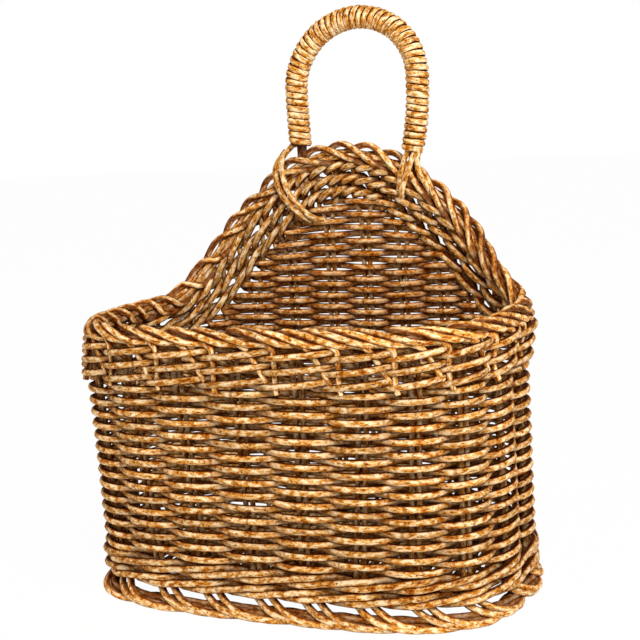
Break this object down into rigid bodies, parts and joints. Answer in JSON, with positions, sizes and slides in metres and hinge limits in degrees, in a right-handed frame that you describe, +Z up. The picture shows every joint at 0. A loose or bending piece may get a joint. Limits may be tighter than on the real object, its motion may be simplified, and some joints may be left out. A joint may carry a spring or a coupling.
{
  "type": "hanging basket",
  "caption": "D-shaped wall basket of varnished woven rods, with a flat arched back, an openwork foot border, a rolled rim and a wound hoop handle to hang it by.",
  "frame": {"origin": "middle of the foot ring's underside, at the centre of the overall box", "axes": "+Z up, +Y towards the wall behind the flat back, -Y towards the rounded front, +X to the right seen from the front"},
  "size_m": [0.308, 0.1956, 0.3943],
  "materials": {
    "weaver_rods": "gloss varnish",
    "stake_rods": "gloss varnish",
    "border_rods": "gloss varnish",
    "base_rods": "satin varnish",
    "handle_strand": "gloss varnish"
  },
  "bodies": {
    "root": {"back_weave": "weaver_rods", "base_stick_1": "base_rods", "base_stick_2": "base_rods", "base_stick_3": "base_rods", "base_weave": "base_rods", "bottom_wale": "weaver_rods", "by_stake_01": "stake_rods", "by_stake_02": "stake_rods", "by_stake_03": "stake_rods", "by_stake_04": "stake_rods", "by_stake_05": "stake_rods", "by_stake_06": "stake_rods", "by_stake_07": "stake_rods", "by_stake_08": "stake_rods", "by_stake_09": "stake_rods", "by_stake_10": "stake_rods", "by_stake_11": "stake_rods", "by_stake_12": "stake_rods", "by_stake_13": "stake_rods", "by_stake_14": "stake_rods", "by_stake_15": "stake_rods", "by_stake_16": "stake_rods", "by_stake_17": "stake_rods", "by_stake_18": "stake_rods", "by_stake_19": "stake_rods", "by_stake_20": "stake_rods", "by_stake_21": "stake_rods", "by_stake_22": "stake_rods", "foot_border": "border_rods", "handle_rod_1": "stake_rods", "handle_rod_2": "stake_rods", "handle_rod_3": "stake_rods", "handle_rod_4": "stake_rods", "handle_wrap": "handle_strand", "rim_border": "border_rods", "side_weave": "weaver_rods", "stake_01": "stake_rods", "stake_02": "stake_rods", "stake_03": "stake_rods", "stake_04": "stake_rods", "stake_05": "stake_rods", "stake_06": "stake_rods", "stake_07": "stake_rods", "stake_08": "stake_rods", "stake_09": "stake_rods", "stake_10": "stake_rods", "stake_11": "stake_rods", "stake_12": "stake_rods", "stake_13": "stake_rods", "stake_14": "stake_rods", "stake_15": "stake_rods", "stake_16": "stake_rods", "stake_17": "stake_rods", "stake_18": "stake_rods", "stake_19": "stake_rods", "stake_20": "stake_rods", "stake_21": "stake_rods", "stake_22": "stake_rods", "top_wale": "weaver_rods"}
  },
  "joints": []
}
